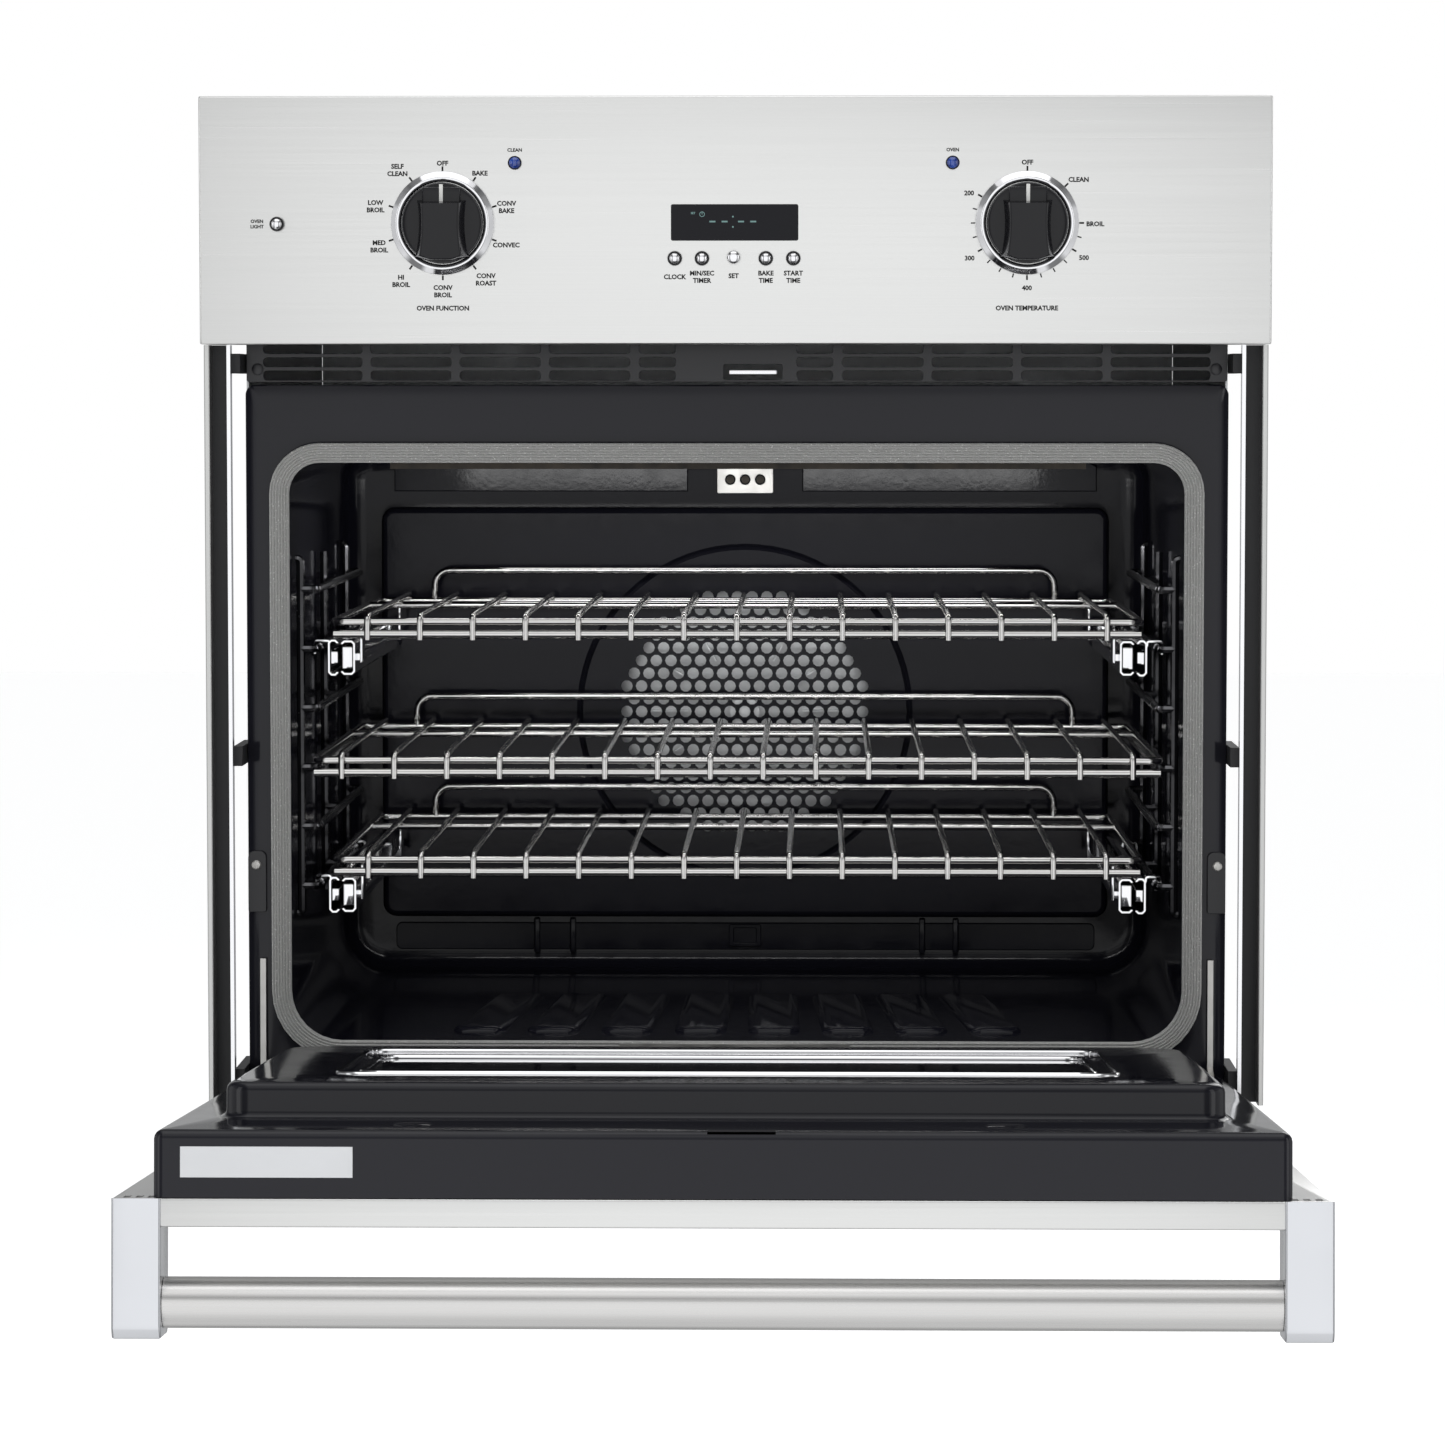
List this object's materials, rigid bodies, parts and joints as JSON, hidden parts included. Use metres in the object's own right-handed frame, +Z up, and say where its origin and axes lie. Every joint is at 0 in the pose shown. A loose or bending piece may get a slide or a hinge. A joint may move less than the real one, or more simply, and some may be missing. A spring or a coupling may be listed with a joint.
{
  "type": "wall oven",
  "caption": "Built-in single wall oven with a control fascia above a drop-down door, shown open, and three sliding wire racks.",
  "frame": {"origin": "centre of the underside of the base pan, where the oven rests on the cabinet shelf", "axes": "+X to the right of a person facing the oven, +Y towards the back of the cabinet, +Z up"},
  "size_m": [0.7494, 1.0893, 0.7882],
  "materials": {
    "galvanised": "satin galvanised sheet",
    "stainless": "brushed",
    "enamel": "gloss porcelain enamel",
    "black_paint": "satin black",
    "braid": "woven glass-fibre braid",
    "chrome_wire": "polished",
    "glide_steel": "bright rolled",
    "polished": "polished",
    "bracket_casting": "soft polished casting",
    "hinge_steel": "bright zinc",
    "heater": "oxidised sheath",
    "glass": "tinted, polished",
    "display": "gloss",
    "knob": "gloss",
    "blue_lens": "clear lens"
  },
  "bodies": {
    "oven_body": {"case_base": "galvanised", "case_left_panel": "galvanised", "case_right_panel": "galvanised", "case_back_panel": "galvanised", "case_top_panel": "galvanised", "fan_motor": "galvanised", "control_fascia": "stainless", "left_trim_rail": "stainless", "right_trim_rail": "stainless", "front_frame": "enamel", "cavity_left_wall": "enamel", "cavity_right_wall": "enamel", "cavity_roof": "enamel", "cavity_floor": "enamel", "cavity_back_wall": "enamel", "fan_cover": "enamel", "vent_grille": "black_paint", "function_switch": "black_paint", "thermostat": "black_paint", "door_gasket": "braid", "left_rack_ladder": "chrome_wire", "right_rack_ladder": "chrome_wire", "top_rack_left_glide": "glide_steel", "top_rack_right_glide": "glide_steel", "bottom_rack_left_glide": "glide_steel", "bottom_rack_right_glide": "glide_steel", "terminal_plate": "polished", "function_bezel": "polished", "temperature_bezel": "polished", "left_hinge_arm": "hinge_steel", "right_hinge_arm": "hinge_steel", "convection_element": "heater", "broil_element": "heater", "clock_module": "display", "clean_indicator": "blue_lens", "oven_indicator": "blue_lens"},
    "door": {"door_skin": "stainless", "door_outer_glass": "glass", "door_liner": "enamel", "door_inner_glass": "glass", "handle_tube": "stainless", "handle_left_bracket": "bracket_casting", "handle_right_bracket": "bracket_casting"},
    "top_rack_body": {"top_rack": "chrome_wire", "top_rack_left_slider": "glide_steel", "top_rack_right_slider": "glide_steel"},
    "middle_rack_body": {"middle_rack": "chrome_wire"},
    "bottom_rack_body": {"bottom_rack": "chrome_wire", "bottom_rack_left_slider": "glide_steel", "bottom_rack_right_slider": "glide_steel"},
    "function_knob_body": {"function_knob": "knob"},
    "temperature_knob_body": {"temperature_knob": "knob"},
    "fan_body": {"convection_fan": "galvanised"},
    "latch_body": {"door_latch": "polished"},
    "light_button_body": {"light_button": "polished"},
    "clock_button_body": {"clock_button": "polished"},
    "timer_button_body": {"timer_button": "polished"},
    "set_button_body": {"set_button": "polished"},
    "bake_time_button_body": {"bake_time_button": "polished"},
    "start_time_button_body": {"start_time_button": "polished"}
  },
  "joints": [
    {"name": "door_hinge", "type": "hinge", "parent": "oven_body", "child": "door", "pos_m": [0, -0.291, 0.0505], "axis": [1, 0, 0], "range_deg": [-86, 0]},
    {"name": "top_rack_slide", "type": "slide", "parent": "oven_body", "child": "top_rack_body", "axis": [0, -1, 0], "range_m": [0, 0.3]},
    {"name": "middle_rack_slide", "type": "slide", "parent": "oven_body", "child": "middle_rack_body", "axis": [0, -1, 0], "range_m": [0, 0.24]},
    {"name": "bottom_rack_slide", "type": "slide", "parent": "oven_body", "child": "bottom_rack_body", "axis": [0, -1, 0], "range_m": [0, 0.3]},
    {"name": "function_knob_turn", "type": "hinge", "parent": "oven_body", "child": "function_knob_body", "pos_m": [-0.204, -0.35, 0.6675], "axis": [0, 1, 0], "range_deg": [0, 324]},
    {"name": "temperature_knob_turn", "type": "hinge", "parent": "oven_body", "child": "temperature_knob_body", "pos_m": [0.204, -0.35, 0.6675], "axis": [0, 1, 0], "range_deg": [0, 300]},
    {"name": "fan_spin", "type": "hinge", "parent": "oven_body", "child": "fan_body", "pos_m": [0, 0.17, 0.2943], "axis": [0, 1, 0], "continuous": true},
    {"name": "latch_slide", "type": "slide", "parent": "oven_body", "child": "latch_body", "axis": [0, -1, 0], "range_m": [0, 0.018]},
    {"name": "light_button_press", "type": "slide", "parent": "oven_body", "child": "light_button_body", "axis": [0, 1, 0], "range_m": [0, 0.0015], "stiffness_N_per_m": 400},
    {"name": "clock_button_press", "type": "slide", "parent": "oven_body", "child": "clock_button_body", "axis": [0, 1, 0], "range_m": [0, 0.0015], "stiffness_N_per_m": 400},
    {"name": "timer_button_press", "type": "slide", "parent": "oven_body", "child": "timer_button_body", "axis": [0, 1, 0], "range_m": [0, 0.0015], "stiffness_N_per_m": 400},
    {"name": "set_button_press", "type": "slide", "parent": "oven_body", "child": "set_button_body", "axis": [0, 1, 0], "range_m": [0, 0.0015], "stiffness_N_per_m": 400},
    {"name": "bake_time_button_press", "type": "slide", "parent": "oven_body", "child": "bake_time_button_body", "axis": [0, 1, 0], "range_m": [0, 0.0015], "stiffness_N_per_m": 400},
    {"name": "start_time_button_press", "type": "slide", "parent": "oven_body", "child": "start_time_button_body", "axis": [0, 1, 0], "range_m": [0, 0.0015], "stiffness_N_per_m": 400}
  ]
}
